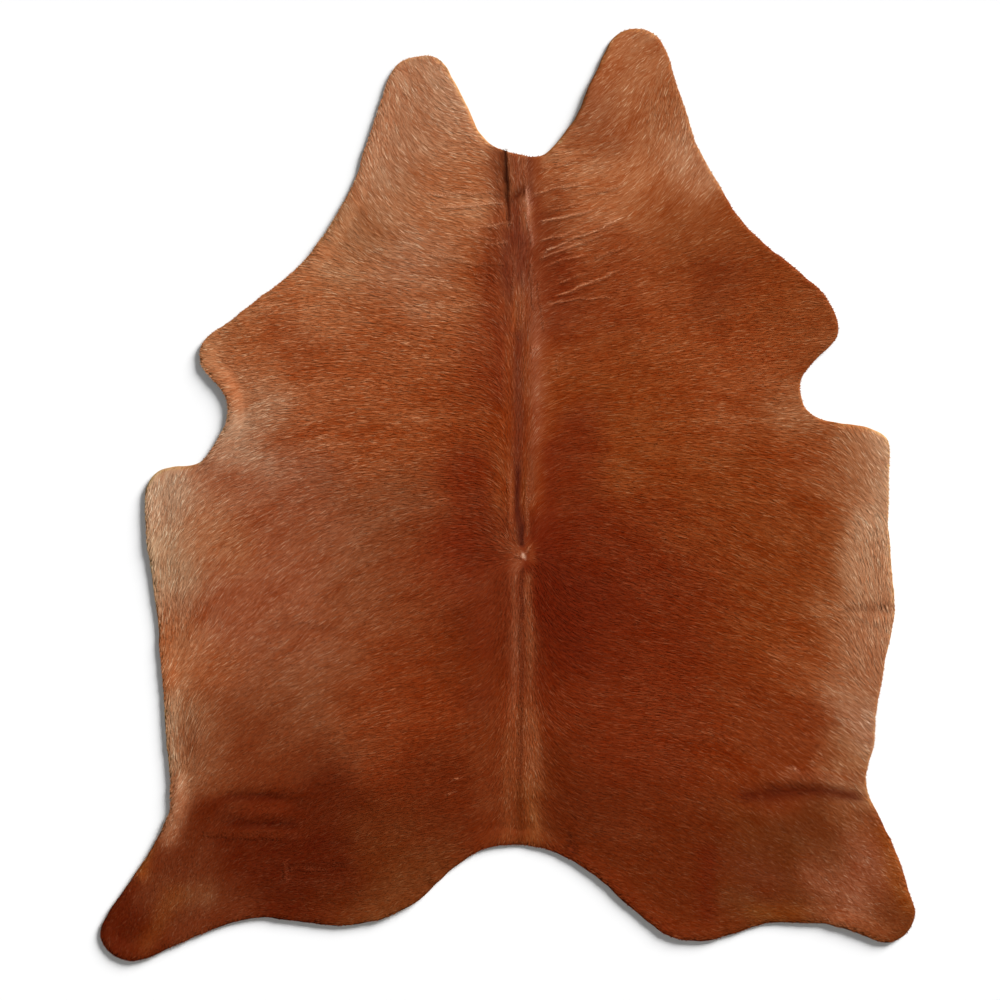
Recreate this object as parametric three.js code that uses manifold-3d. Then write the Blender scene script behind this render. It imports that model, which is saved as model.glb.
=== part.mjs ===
// A cowhide rug: one whole tanned hide with the hair on, trimmed to the natural outline of the
// skin and laid flat on the floor, hair side up. Units are millimetres and +Z is up. The neck
// points along +Y, the backbone runs along Y, and the origin is on the floor under the middle.
import * as THREE from "three";
import { mergeVertices } from "three/addons/utils/BufferGeometryUtils.js";
import Module from "manifold-3d";

// Driving dimensions
const LEATHER = 2.4; // thickness of the tanned skin
const PILE = 4.6; // depth of the hair as it lies on the skin
const RIM_HEIGHT = 3; // upright part of the trimmed edge, leather with a little hair
const RIM_SLOPE_WIDTH = 30; // how far the hair rounds in from the edge at the highest fold
const HIGHEST = 12; // no fold stands higher than this
const SPINE_X = 38; // the parting along the backbone lies a little to one side of the middle
const ARC_STEP = THREE.MathUtils.degToRad(12); // longest step along a tight corner
const CHORD = 42; // longest step along a wide bend
const SHORTEST = 4; // two arcs that nearly meet share a point
const HIDE_COLOUR = 0x96481e;

// The trimmed outline as straight runs between rounded corners, clockwise seen from above, neck
// at the top. x and y are where the two runs of a corner meet, round is the radius between them.
const OUTLINE = [
  { corner: "neck bay, left", x: -50, y: 853, round: 100 },
  { corner: "neck bay, right", x: 88, y: 816, round: 62 },
  { corner: "right neck lobe, inner edge", x: 165, y: 914, round: 195 },
  { corner: "right neck lobe, inner tip", x: 266, y: 1143, round: 78 },
  { corner: "right neck lobe, outer tip", x: 376, y: 1139, round: 78 },
  { corner: "right neck, outer edge", x: 467, y: 850, round: 490 },
  { corner: "right shoulder", x: 580, y: 655, round: 390 },
  { corner: "right foreleg, front", x: 781, y: 493, round: 100 },
  { corner: "right foreleg, tip", x: 828, y: 392, round: 60 },
  { corner: "right armpit, front", x: 715, y: 285, round: 65 },
  { corner: "right armpit, rear", x: 731, y: 187, round: 65 },
  { corner: "right belly, front edge", x: 865, y: 168, round: 145 },
  { corner: "right belly, front corner", x: 943, y: 144, round: 52 },
  { corner: "right belly, hollow", x: 935, y: -65, round: 490 },
  { corner: "right belly, widest", x: 955, y: -290, round: 295 },
  { corner: "right flank", x: 910, y: -510, round: 295 },
  { corner: "right flank, rear", x: 901, y: -630, round: 145 },
  { corner: "right waist", x: 871, y: -709, round: 100 },
  { corner: "right thigh", x: 947, y: -854, round: 245 },
  { corner: "right hind leg, outer tip", x: 1014, y: -1049, round: 65 },
  { corner: "right hind leg, inner tip", x: 944, y: -1111, round: 60 },
  { corner: "right hind leg, rear edge", x: 790, y: -1051, round: 370 },
  { corner: "right rump, outer", x: 640, y: -1052, round: 195 },
  { corner: "right rump, middle", x: 500, y: -1097, round: 145 },
  { corner: "right rump, inner", x: 400, y: -1098, round: 150 },
  { corner: "right of the tail", x: 198, y: -922, round: 370 },
  { corner: "tail bay, right", x: 100, y: -865, round: 245 },
  { corner: "tail bay, left", x: -40, y: -860, round: 170 },
  { corner: "left of the tail", x: -121, y: -908, round: 195 },
  { corner: "left rump, inner", x: -206, y: -994, round: 195 },
  { corner: "left rump, middle", x: -310, y: -1050, round: 245 },
  { corner: "left rump, outer", x: -415, y: -1062, round: 245 },
  { corner: "left hind leg, rear edge", x: -635, y: -1032, round: 295 },
  { corner: "left hind leg, inner tip", x: -925, y: -1158, round: 76 },
  { corner: "left hind leg, outer tip", x: -1019, y: -1092, round: 56 },
  { corner: "left thigh", x: -860, y: -855, round: 145 },
  { corner: "left waist", x: -821, y: -771, round: 125 },
  { corner: "left flank", x: -855, y: -310, round: 370 },
  { corner: "left belly", x: -885, y: -90, round: 370 },
  { corner: "left belly, front corner", x: -890, y: 60, round: 75 },
  { corner: "left armpit, rear", x: -743, y: 73, round: 66 },
  { corner: "left armpit, front", x: -661, y: 218, round: 85 },
  { corner: "left foreleg, rear", x: -747, y: 303, round: 70 },
  { corner: "left foreleg, tip", x: -761, y: 363, round: 60 },
  { corner: "left shoulder", x: -511, y: 551, round: 370 },
  { corner: "left neck, base", x: -440, y: 643, round: 490 },
  { corner: "left neck, outer edge", x: -380, y: 745, round: 490 },
  { corner: "left neck lobe, outer tip", x: -275, y: 1065, round: 80 },
  { corner: "left neck lobe, inner tip", x: -160, y: 1080, round: 65 },
];

// The main folds of the skin: x and y are the middle, turn is the direction in degrees from +X,
// bend is how far the middle bows to the side, spread is half the width, rise is its height.
const FOLDS = [
  { fold: "left thigh trough", x: -615, y: -742, length: 300, turn: -3, bend: 14, spread: 26, rise: -2.2 },
  { fold: "left thigh crest", x: -610, y: -780, length: 280, turn: -4, bend: 12, spread: 22, rise: 2.6 },
  { fold: "left leg crease", x: -590, y: -820, length: 190, turn: -5, bend: 8, spread: 18, rise: -1.6 },
  { fold: "right thigh trough", x: 700, y: -736, length: 360, turn: 3, bend: -8, spread: 26, rise: -2.4 },
  { fold: "right thigh crest", x: 710, y: -774, length: 320, turn: 3, bend: -6, spread: 24, rise: 2.4 },
  { fold: "left flank crease", x: -500, y: -334, length: 260, turn: -1, bend: 4, spread: 20, rise: -1.1 },
  { fold: "right belly crease", x: 890, y: -285, length: 160, turn: -4, bend: 2, spread: 18, rise: -1.4 },
  { fold: "neck fold", x: -2, y: 765, length: 250, turn: 90, bend: 3, spread: 16, rise: -2.6 },
  { fold: "neck panel", x: 32, y: 765, length: 250, turn: 90, bend: 0, spread: 22, rise: 1.4 },
  { fold: "left neck wrinkle, front", x: -85, y: 722, length: 200, turn: 3, bend: 4, spread: 15, rise: 1.4 },
  { fold: "left neck wrinkle, rear", x: -80, y: 612, length: 210, turn: 2, bend: 4, spread: 16, rise: 1.2 },
  { fold: "right neck wrinkle, front", x: 175, y: 636, length: 200, turn: 17, bend: -6, spread: 15, rise: 1.7 },
  { fold: "right neck wrinkle, rear", x: 195, y: 510, length: 210, turn: 18, bend: -6, spread: 16, rise: 1.4 },
];
const SPINE = { spread: 30, sink: 2.2, front: 640, rear: -860 };

// Slow unevenness of a skin that never lies quite flat: wave length, direction and height.
const WAVES = [
  { length: 940, turn: 20, rise: 0.5 },
  { length: 610, turn: 75, rise: 0.4 },
  { length: 430, turn: 130, rise: 0.3 },
];

// Grid lines stand closer where the folds are.
const COLUMNS = { from: -1040, to: 1040, wide: 56, close: 15, closeBands: [[-60, 120]] };
const ROWS = { from: -1190, to: 1190, wide: 56, close: 18, closeBands: [[-860, -700], [470, 760]] };

// Points of a closed path with each corner rounded by an arc.
function roundedPath(corners) {
  const points = [];
  corners.forEach((corner, i) => {
    const at = new THREE.Vector2(corner.x, corner.y);
    const before = corners.at(i - 1);
    const after = corners[(i + 1) % corners.length];
    const back = new THREE.Vector2(before.x, before.y).sub(at).normalize();
    const onward = new THREE.Vector2(after.x, after.y).sub(at).normalize();
    const half = Math.acos(back.dot(onward)) / 2;
    const middle = back.clone().add(onward).normalize();
    const centre = at.clone().addScaledVector(middle, corner.round / Math.sin(half));
    const tangent = corner.round / Math.tan(half);
    const start = at.clone().addScaledVector(back, tangent).sub(centre);
    const end = at.clone().addScaledVector(onward, tangent).sub(centre);
    const sweep = Math.atan2(start.cross(end), start.dot(end));
    const byAngle = Math.ceil(Math.abs(sweep) / ARC_STEP);
    const byChord = Math.ceil((Math.abs(sweep) * corner.round) / CHORD);
    const steps = Math.max(2, byAngle, byChord);
    for (let k = 0; k <= steps; k++) {
      const spoke = start.clone().rotateAround(new THREE.Vector2(), (sweep * k) / steps);
      const point = spoke.add(centre);
      if (!points.length || point.distanceTo(points.at(-1)) > SHORTEST) points.push(point);
    }
  });
  return points;
}

// Height that one fold adds at a place: a soft ridge or trough that fades at both ends.
function foldHeight(fold, x, y) {
  const turn = THREE.MathUtils.degToRad(fold.turn);
  const along = (x - fold.x) * Math.cos(turn) + (y - fold.y) * Math.sin(turn);
  const across = (y - fold.y) * Math.cos(turn) - (x - fold.x) * Math.sin(turn);
  const t = (2 * along) / fold.length;
  if (Math.abs(t) >= 1) return 0;
  const offset = across - fold.bend * (1 - t * t);
  return fold.rise * (1 - t * t) ** 2 * Math.exp(-((offset / fold.spread) ** 2));
}

// Height of the hair's surface over the floor.
function surfaceHeight(x, y) {
  let height = LEATHER + PILE;
  for (const fold of FOLDS) height += foldHeight(fold, x, y);
  for (const wave of WAVES) {
    const turn = THREE.MathUtils.degToRad(wave.turn);
    const along = x * Math.cos(turn) + y * Math.sin(turn);
    height += wave.rise * Math.sin((2 * Math.PI * along) / wave.length);
  }
  const inSpine = THREE.MathUtils.smoothstep(y, SPINE.rear, SPINE.rear + 120);
  const outSpine = 1 - THREE.MathUtils.smoothstep(y, SPINE.front - 120, SPINE.front);
  const beside = Math.exp(-(((x - SPINE_X) / SPINE.spread) ** 2));
  return height - SPINE.sink * inSpine * outSpine * beside;
}

// Places of the grid lines along one axis, closer inside the close bands.
function gridLines({ from, to, wide, close, closeBands }) {
  const lines = [from];
  while (lines.at(-1) < to) {
    const at = lines.at(-1);
    const inBand = closeBands.some(([low, high]) => at >= low - wide && at < high);
    lines.push(Math.min(to, at + (inBand ? close : wide)));
  }
  return lines;
}

// A closed slab over the whole field, flat below, with the hair's surface on top. Each side wall
// is a fan from one lower corner to the grid's rim.
function surfaceSlab() {
  const xs = gridLines(COLUMNS);
  const ys = gridLines(ROWS);
  const right = xs.length - 1;
  const front = ys.length - 1;
  const positions = [];
  for (const y of ys) for (const x of xs) positions.push(x, y, surfaceHeight(x, y));
  const top = (column, row) => row * xs.length + column;
  const index = [];
  for (let row = 0; row < front; row++) {
    for (let column = 0; column < right; column++) {
      index.push(top(column, row), top(column + 1, row), top(column + 1, row + 1));
      index.push(top(column, row), top(column + 1, row + 1), top(column, row + 1));
    }
  }
  const lower = xs.length * ys.length;
  for (const y of [ys[0], ys[front]]) for (const x of [xs[0], xs[right]]) positions.push(x, y, 0);
  const [rearLeft, rearRight, frontLeft, frontRight] = [lower, lower + 1, lower + 2, lower + 3];
  const wall = (corner, next, rim) => {
    for (let k = 0; k + 1 < rim.length; k++) index.push(corner, rim[k + 1], rim[k]);
    index.push(corner, next, rim.at(-1));
  };
  const columns = xs.map((_, column) => column);
  const rows = ys.map((_, row) => row);
  wall(rearLeft, rearRight, columns.map((column) => top(column, 0)));
  wall(rearRight, frontRight, rows.map((row) => top(right, row)));
  wall(frontRight, frontLeft, columns.map((column) => top(right - column, front)));
  wall(frontLeft, rearLeft, rows.map((row) => top(0, front - row)));
  index.push(rearLeft, frontLeft, frontRight, rearLeft, frontRight, rearRight);
  const slab = new THREE.BufferGeometry();
  slab.setAttribute("position", new THREE.Float32BufferAttribute(positions, 3));
  slab.setIndex(index);
  return slab;
}

// A body with the rug's outline, its upper edge rounded in as the hair does at the trimmed rim.
function outlineBody() {
  const body = new THREE.ExtrudeGeometry(new THREE.Shape(roundedPath(OUTLINE)), {
    depth: RIM_HEIGHT + HIGHEST,
    bevelThickness: HIGHEST - RIM_HEIGHT,
    bevelSize: RIM_SLOPE_WIDTH,
    bevelOffset: -RIM_SLOPE_WIDTH,
    bevelSegments: 3,
    steps: 1,
  });
  return body.translate(0, 0, -HIGHEST);
}

const wasm = await Module();
wasm.setup();

function toSolid(geometry) {
  geometry.deleteAttribute("normal");
  geometry.deleteAttribute("uv");
  const merged = mergeVertices(geometry, 1e-3);
  return new wasm.Manifold(
    new wasm.Mesh({
      numProp: 3,
      vertProperties: merged.attributes.position.array,
      triVerts: new Uint32Array(merged.index.array),
    }),
  );
}

function toGeometry(solid) {
  const mesh = solid.getMesh();
  const geometry = new THREE.BufferGeometry();
  geometry.setAttribute("position", new THREE.BufferAttribute(mesh.vertProperties, 3));
  geometry.setIndex(new THREE.BufferAttribute(mesh.triVerts, 1));
  return geometry;
}

// The hide is the surface slab trimmed to the outline, set down with its middle over the origin.
function hide() {
  const trimmed = toSolid(surfaceSlab()).intersect(toSolid(outlineBody()));
  const geometry = toGeometry(trimmed);
  geometry.computeBoundingBox();
  const middle = geometry.boundingBox.getCenter(new THREE.Vector3());
  geometry.translate(-middle.x, -middle.y, 0);
  geometry.computeVertexNormals();
  const material = new THREE.MeshStandardMaterial({ color: HIDE_COLOUR, roughness: 0.72, metalness: 0 });
  const mesh = new THREE.Mesh(geometry, material);
  mesh.name = "hide";
  return mesh;
}

const rug = new THREE.Group();
rug.add(hide());

export default rug;
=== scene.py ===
import math

import bpy
import numpy as np
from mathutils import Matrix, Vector, geometry


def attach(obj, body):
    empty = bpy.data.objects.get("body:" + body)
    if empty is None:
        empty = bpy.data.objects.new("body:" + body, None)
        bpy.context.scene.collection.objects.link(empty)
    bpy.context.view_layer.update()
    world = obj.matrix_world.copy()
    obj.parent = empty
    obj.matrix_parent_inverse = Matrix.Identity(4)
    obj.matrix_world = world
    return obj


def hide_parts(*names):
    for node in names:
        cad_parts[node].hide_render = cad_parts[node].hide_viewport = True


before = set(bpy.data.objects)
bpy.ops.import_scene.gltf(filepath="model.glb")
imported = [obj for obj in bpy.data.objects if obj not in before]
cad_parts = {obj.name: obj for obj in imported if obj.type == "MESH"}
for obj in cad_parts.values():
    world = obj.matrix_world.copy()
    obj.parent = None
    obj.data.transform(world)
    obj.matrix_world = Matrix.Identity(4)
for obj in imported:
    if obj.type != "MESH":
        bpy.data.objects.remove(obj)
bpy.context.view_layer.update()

# Camera. It looks straight down on the rug through a long lens, neck at the top of the picture.
# One picture element is 2.45 mm on the floor, and places on the rug are told as column and row
# of that picture all through this file.
STEP = 0.00245
ORIGIN_COLUMN = 507.6
ORIGIN_ROW = 494.7
PICTURE_SIDE = 1000
COAT_TOP = 0.007
LENS = 85.0
FILM = 36.0


def across(column):
    """X in metres of a picture column."""
    return (column - ORIGIN_COLUMN) * STEP


def ahead(row):
    """Y in metres of a picture row."""
    return (ORIGIN_ROW - row) * STEP


lens = bpy.data.cameras.new("camera")
lens.lens = LENS
lens.sensor_width = FILM
camera = bpy.data.objects.new("camera", lens)
camera.location = (
    across(PICTURE_SIDE / 2),
    ahead(PICTURE_SIDE / 2),
    COAT_TOP + PICTURE_SIDE * STEP * LENS / FILM,
)
bpy.context.scene.collection.objects.link(camera)
bpy.context.scene.camera = camera


class Wire:
    """A socket in a node tree. Sums written on it add Math nodes to the tree."""

    def __init__(self, graph, socket):
        self.graph = graph
        self.socket = socket

    def of(self, name):
        return Wire(self.graph, self.socket.node.outputs[name])

    def sum(self, operation, first, second):
        return self.graph.add("ShaderNodeMath", {"operation": operation}, {0: first, 1: second})

    def __add__(self, other):
        return self.sum("ADD", self, other)

    def __radd__(self, other):
        return self.sum("ADD", other, self)

    def __rsub__(self, other):
        return self.sum("SUBTRACT", other, self)

    def __mul__(self, other):
        return self.sum("MULTIPLY", self, other)

    def __rmul__(self, other):
        return self.sum("MULTIPLY", other, self)


class Graph:
    """A node tree that is filled one node at a time."""

    def __init__(self, tree):
        self.tree = tree

    def add(self, kind, settings=None, inputs=None, output=0):
        """Adds a node, sets it up, feeds its sockets and gives one output as a Wire."""
        node = self.tree.nodes.new(kind)
        for name, value in (settings or {}).items():
            setattr(node, name, value)
        for name, value in (inputs or {}).items():
            if isinstance(value, Wire):
                self.tree.links.new(value.socket, node.inputs[name])
            else:
                node.inputs[name].default_value = value
        return Wire(self, node.outputs[output]) if len(node.outputs) else node

    def stored(self, name, output="Fac"):
        """What a mesh carries under a name."""
        return self.add("ShaderNodeAttribute", {"attribute_name": name}, output=output)

    def noise(self, place, scale, detail):
        """A cloudy pattern over places."""
        return self.add("ShaderNodeTexNoise", inputs={"Vector": place, "Scale": scale, "Detail": detail})

    def scaled(self, colour, shade):
        """A colour made darker or lighter."""
        return self.add("ShaderNodeVectorMath", {"operation": "SCALE"}, {0: colour, "Scale": shade})

    def surface(self, inputs):
        """Ends the tree of a material with a surface."""
        paint = self.add("ShaderNodeBsdfPrincipled", inputs=inputs)
        self.add("ShaderNodeOutputMaterial", inputs={"Surface": paint})


def finish_named(name):
    """A new material with its node tree emptied, as (material, graph)."""
    material = bpy.data.materials.new(name)
    material.use_nodes = True
    material.node_tree.nodes.clear()
    return material, Graph(material.node_tree)


# Studio. A plain white floor that runs out of sight, one soft key light from the upper right of
# the picture, and a white surround, brightest near the horizon, that fills the shadows.
LIGHTS = [
    # name, degrees from +X, height in degrees, strength, softness in degrees
    ("key", 44, 21, 7.6, 26),
]
ZENITH = 0.20
HORIZON = 1.0
FLOOR_REACH = 60

white, graph = finish_named("studio_white")
graph.surface({"Base Color": (0.92, 0.92, 0.92, 1), "Roughness": 0.9, "Specular IOR Level": 0.0})
floor_mesh = bpy.data.meshes.new("floor")
floor_corners = [
    (right * FLOOR_REACH, up * FLOOR_REACH, 0) for right, up in ((-1, -1), (1, -1), (1, 1), (-1, 1))
]
floor_mesh.from_pydata(floor_corners, [], [(0, 1, 2, 3)])
floor_mesh.materials.append(white)
floor = bpy.data.objects.new("floor", floor_mesh)
bpy.context.scene.collection.objects.link(floor)

for name, bearing, height, strength, softness in LIGHTS:
    sun = bpy.data.lights.new(name, "SUN")
    sun.energy = strength
    sun.angle = math.radians(softness)
    light = bpy.data.objects.new(name, sun)
    level = math.cos(math.radians(height))
    aim = Vector(
        (
            -level * math.cos(math.radians(bearing)),
            -level * math.sin(math.radians(bearing)),
            -math.sin(math.radians(height)),
        )
    )
    light.rotation_euler = aim.to_track_quat("-Z", "Y").to_euler()
    bpy.context.scene.collection.objects.link(light)

surround = bpy.data.worlds.new("surround")
surround.use_nodes = True
surround.node_tree.nodes.clear()
graph = Graph(surround.node_tree)
direction = graph.add("ShaderNodeTexCoord", output="Generated")
height = graph.add("ShaderNodeSeparateXYZ", inputs={0: direction}, output="Z")
glow = graph.add(
    "ShaderNodeMapRange",
    {"interpolation_type": "SMOOTHSTEP"},
    {"Value": height, "From Min": 0.08, "From Max": 0.35, "To Min": HORIZON, "To Max": ZENITH},
)
sky = graph.add("ShaderNodeBackground", inputs={"Color": (1, 1, 1, 1), "Strength": glow})
graph.add("ShaderNodeOutputWorld", inputs={"Surface": sky})
bpy.context.scene.world = surround
bpy.context.scene.view_settings.view_transform = "Standard"

# Skin. One whole tanned cowhide, 2.4 mm thick, trimmed round its natural outline and laid on the
# floor hair side up: a closed sheet with the main creases put in one by one and a suede underside.
LEATHER = 0.0024
LEAST_TOP = 0.0018
LEAST_RIM = 0.0016
OUTLINE_STEP = 0.005
OUTLINE_SMOOTHING = 0.010
SET_IN = 0.0010
chance = np.random.default_rng(7)

# The skin's triangles: size on the hair side, along the backbone and on the suede side. The
# small ones lie between two rows, some columns to the left and right of the backbone, more over
# the wrinkled neck than behind it.
WIDE_GRID = 0.012
FINE_GRID = 0.006
UNDER_GRID = 0.040
GRID_HALF_SIZE = (1.02, 1.17)
GRID_SHAKE = 0.12
EDGE_CLEARANCE = 0.6
FINE_COLUMNS = (430, 625)
FINE_ROWS = (150, 860)
NECK_END_ROW = 320
NECK_MIDDLE = 520
NECK_FINE_LEFT = 80
NECK_FINE_RIGHT = 95
BACK_FINE = 26
FINE_MARGIN = 3

# Slow unevenness of the skin: wave length in metres, direction in degrees, height in metres, and
# the mean height at which the hide rests.
WAVES = [(0.94, 20, 0.0005), (0.61, 75, 0.0004), (0.43, 130, 0.0003)]
RESTING = 0.0011

# The dried rim curls up off the floor, most on the side away from CURL_SIDE.
CURL = 0.0055
CURL_REACH = 0.050
CURL_SIDE = (0.72, 0.69)

# Folds and creases in picture elements: middle, length, turn anticlockwise in degrees, bow to
# the side and half width, with the rise in millimetres.
FOLDS = [
    # what, column, row, length, turn, bow, spread, rise
    ("left thigh, swell above", 256, 787, 150, -2, 6, 10, 0.9),
    ("left thigh, trough", 256, 804, 120, -2, 8, 5.5, -2.4),
    ("left thigh, swell below", 262, 818, 120, -2, 5, 6, 1.1),
    ("left leg, trough", 262, 829, 110, -2, 3, 5.5, -1.5),
    ("left leg, swell", 270, 838, 110, -2, 2, 8, 0.8),
    ("right thigh, swell above", 810, 777, 150, 0, -2, 10, 1.4),
    ("right thigh, trough", 797, 794, 140, 0, 3, 7.5, -2.8),
    ("right thigh, swell below", 830, 812, 150, 2, -3, 14, 1.6),
    ("left flank crease", 302, 630, 100, -1, 2, 5, -1.0),
    ("right belly crease", 872, 610, 70, -4, 1, 4, -1.6),
    ("neck, fold beside the spine", 507, 184, 84, 90, 1, 2.6, -2.2),
    ("neck, panel", 518, 180, 70, 90, 0, 8, 0.7),
    ("neck, foot of the panel", 516, 198, 22, 30, 0, 4, -1.8),
    ("right neck wrinkle 1", 567, 216, 60, 10, 0, 2.2, 1.0),
    ("right neck wrinkle 2", 580, 234, 74, 19, 0, 2.2, 1.3),
    ("right neck wrinkle 3", 586, 287, 66, 20, 0, 2.2, 1.0),
    ("left neck wrinkle 1", 477, 205, 60, 2, 0, 2.2, 1.0),
    ("left neck wrinkle 2", 494, 225, 40, 8, 0, 2.2, 0.9),
    ("rump line", 570, 844, 30, 90, 0, 3, -1.2),
]

# The backbone: picture rows and the column of the parting at each, then how far the skin sinks.
SPINE_ROWS = [130, 215, 320, 420, 520, 556, 640, 870]
SPINE_COLUMNS = [516, 516, 519, 519, 520, 523.5, 523, 521]
SPINE_SINK = 0.0016
SPINE_SPREAD = 12
SPINE_SINK_ROWS = (170, 260)
WHORL = (523.5, 556)


def smooth(low, high, value):
    """0 below low, 1 above high, and an even curve between."""
    t = np.clip((value - low) / (high - low), 0, 1)
    return t * t * (3 - 2 * t)


def picture_places(x, y):
    """Picture columns and rows of places in metres."""
    return x / STEP + ORIGIN_COLUMN, ORIGIN_ROW - y / STEP


def spine_column(row):
    """The picture column of the backbone at a row."""
    return np.interp(row, SPINE_ROWS, SPINE_COLUMNS)


def broad_lift(x, y):
    """How far the hide's slow waves stand off the floor."""
    lift = np.full_like(x, RESTING)
    for length, turn, rise in WAVES:
        along = x * math.cos(math.radians(turn)) + y * math.sin(math.radians(turn))
        lift += rise * np.sin(2 * math.pi * along / length)
    return lift


def fold_lift(x, y):
    """What the folds, the wrinkles and the sunk backbone add to the skin's height."""
    column, row = picture_places(x, y)
    lift = np.zeros_like(x)
    for _, at, down, length, turn, bow, spread, rise in FOLDS:
        cos = math.cos(math.radians(turn))
        sin = math.sin(math.radians(turn))
        along = (column - at) * cos - (row - down) * sin
        off = (down - row) * cos - (column - at) * sin
        t = np.clip(2 * along / length, -1, 1)
        fade = (1 - t * t) ** 2
        lift += 0.001 * rise * fade * np.exp(-(((off - bow * (1 - t * t)) / spread) ** 2))
    beside = np.exp(-(((column - spine_column(row)) / SPINE_SPREAD) ** 2))
    return lift - SPINE_SINK * beside * smooth(*SPINE_SINK_ROWS, row)


# The trimmed edge: the CAD node's outline on the floor, closely stepped and smoothed, with the
# unevenness of a knife cut and the few nicks that the edge has.
CUT_WAVES = (37, 53, 71, 98, 131, 170, 223)
CUT_UNEVENNESS = 0.0006
CUT_SMOOTHING = 0.004
NICKS = [
    # what, column, row, width, depth in millimetres
    ("left flank, nick", 171, 780, 6, -3.0),
    ("left flank, lip", 170, 794, 6, 2.0),
    ("right flank, curl", 872, 704, 6, 2.5),
    ("right flank, nick", 874, 716, 5, -2.0),
]


def lowest_ring(node):
    """The corners of a node's underside in order, anticlockwise from above."""
    mesh = node.data
    edges = set()
    for face in mesh.polygons:
        ring = [tuple(round(value, 5) for value in mesh.vertices[i].co) for i in face.vertices]
        if max(corner[2] for corner in ring) < 0.00002:
            edges.update(zip(ring, ring[1:] + ring[:1]))
    onward = {end: start for start, end in edges if (end, start) not in edges}
    ring = [min(onward)]
    while len(ring) < len(onward):
        ring.append(onward[ring[-1]])
    return np.array([corner[:2] for corner in ring])


def evenly_stepped(ring, step):
    """Points along a closed ring, step apart."""
    closed = np.vstack([ring, ring[:1]])
    lengths = np.hypot(*np.diff(closed, axis=0).T)
    walked = np.concatenate([[0], np.cumsum(lengths)])
    count = round(walked[-1] / step)
    stops = np.arange(count) * walked[-1] / count
    return np.column_stack([np.interp(stops, walked, closed[:, axis]) for axis in (0, 1)])


def ring_normals(ring):
    """Outward unit normals of an anticlockwise ring."""
    along = np.roll(ring, -1, axis=0) - np.roll(ring, 1, axis=0)
    along /= np.hypot(*along.T)[:, None]
    return np.column_stack([along[:, 1], -along[:, 0]])


def smoothed_ring(ring, step, reach):
    """A closed ring with each point drawn to the mean of its neighbours."""
    span = int(3 * reach / step)
    weights = np.exp(-0.5 * (np.arange(-span, span + 1) * step / reach) ** 2)
    weights /= weights.sum()
    return sum(w * np.roll(ring, k, axis=0) for k, w in zip(range(-span, span + 1), weights))


edge = evenly_stepped(lowest_ring(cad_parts["hide"]), OUTLINE_STEP)
edge = smoothed_ring(edge, OUTLINE_STEP, OUTLINE_SMOOTHING)
outward = ring_normals(edge)
turn_round = np.linspace(0, 2 * math.pi, len(edge), endpoint=False)
wander = sum(
    CUT_UNEVENNESS * math.sqrt(40 / waves) * np.sin(waves * turn_round + chance.uniform(0, 6.3))
    for waves in CUT_WAVES
)
edge_column, edge_row = picture_places(*edge.T)
for _, column, row, width, depth in NICKS:
    away = np.hypot(edge_column - column, edge_row - row)
    wander += 0.001 * depth * np.exp(-((away / width) ** 2))
edge += outward * (wander - SET_IN)[:, None]
edge = smoothed_ring(edge, OUTLINE_STEP, CUT_SMOOTHING)
outward = ring_normals(edge)
EDGE_LOT = 2000


def to_edge(points):
    """Distance of points to the trimmed edge, positive inside, and the edge's outward normal."""
    distance = np.empty(len(points))
    normal = np.empty((len(points), 2))
    for start in range(0, len(points), EDGE_LOT):
        lot = slice(start, start + EDGE_LOT)
        gap = points[lot][:, None, :] - edge[None, :, :]
        nearest = np.argmin((gap**2).sum(axis=2), axis=1)
        chosen = gap[np.arange(len(gap)), nearest]
        side = -(chosen * outward[nearest]).sum(axis=1)
        distance[lot] = np.copysign(np.hypot(*chosen.T), side)
        normal[lot] = outward[nearest]
    return distance, normal


def hexagon_grid(step, low, high):
    """Points of a grid of equal triangles over a field."""
    rows = np.arange(low[1], high[1], step * math.sqrt(0.75))
    columns = np.arange(low[0], high[0], step)
    x, y = np.meshgrid(columns, rows)
    x[1::2] += step / 2
    return np.column_stack([x.ravel(), y.ravel()])


def beside_backbone(column, row, margin):
    """Which places are near the backbone, or no more than a margin of columns further away."""
    neck_width = np.where(column > NECK_MIDDLE, NECK_FINE_RIGHT, NECK_FINE_LEFT)
    width = np.where(row < NECK_END_ROW, neck_width, BACK_FINE) + margin
    return np.abs(column - spine_column(row)) <= width


def sheet_points(step, fine):
    """The edge first, then grid points inside it, closer along the backbone if fine is given."""
    far_corner = np.array(GRID_HALF_SIZE)
    inner = hexagon_grid(step, -far_corner, far_corner)
    if fine:
        first, last = FINE_ROWS
        low = (across(FINE_COLUMNS[0]), ahead(last))
        high = (across(FINE_COLUMNS[1]), ahead(first))
        close = hexagon_grid(fine, low, high)
        close = close[beside_backbone(*picture_places(*close.T), 0)]
        column, row = picture_places(*inner.T)
        near = beside_backbone(column, row, FINE_MARGIN)
        near &= (row >= first - FINE_MARGIN) & (row <= last + FINE_MARGIN)
        inner = np.vstack([inner[~near], close])
    inner = inner + chance.uniform(-GRID_SHAKE, GRID_SHAKE, inner.shape) * (fine or step)
    distance, _ = to_edge(inner)
    return np.vstack([edge, inner[distance > EDGE_CLEARANCE * min(step, WIDE_GRID)]])


def doubled_areas(points, triangles):
    """Twice the area of each triangle, negative where it runs clockwise from above."""
    a, b, c = (points[triangles[:, k]] for k in range(3))
    return (b[:, 0] - a[:, 0]) * (c[:, 1] - a[:, 1]) - (b[:, 1] - a[:, 1]) * (c[:, 0] - a[:, 0])


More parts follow.
